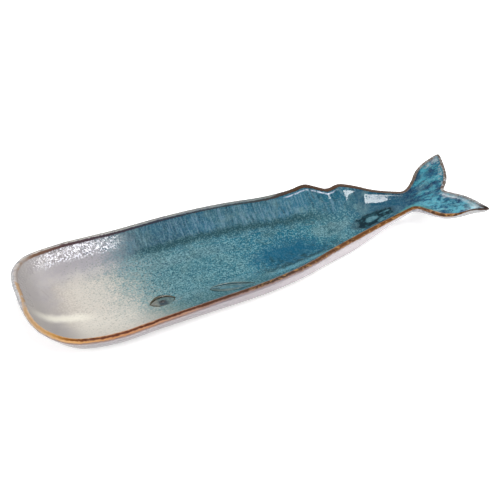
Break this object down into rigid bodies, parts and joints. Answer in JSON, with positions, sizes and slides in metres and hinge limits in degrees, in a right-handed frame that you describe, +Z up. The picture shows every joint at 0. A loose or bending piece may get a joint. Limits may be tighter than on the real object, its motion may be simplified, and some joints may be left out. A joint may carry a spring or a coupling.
{
  "type": "trinket dish",
  "caption": "Long shallow stoneware dish in the outline of a sperm whale, glazed teal to cream with a brown lip, holding rings, keys and other small things on a table.",
  "frame": {"origin": "on the table under the middle of the dish's outline", "axes": "+X from the head to the tail, +Y to the back of the whale, +Z up"},
  "size_m": [0.338, 0.1074, 0.028],
  "materials": {
    "clay": "fired stoneware, matte, pale buff",
    "bare_clay": "bare stoneware, matte, slightly toasted buff",
    "inner_glaze": "glossy mottled reactive glaze, cream at the head to teal at the tail",
    "rim_glaze": "glossy iron-brown glaze that breaks to tan",
    "outer_glaze": "glossy pale grey-lilac glaze with faint specks",
    "slip_line": "glossy raised line, olive brown",
    "pupil": "glossy raised dot, dark olive"
  },
  "bodies": {
    "root": {"clay_body": "clay", "foot_ring": "bare_clay", "inner_glaze": "inner_glaze", "rim_glaze": "rim_glaze", "outer_glaze": "outer_glaze", "eye_line": "slip_line", "pupil": "pupil", "fin_line": "slip_line"}
  },
  "joints": []
}
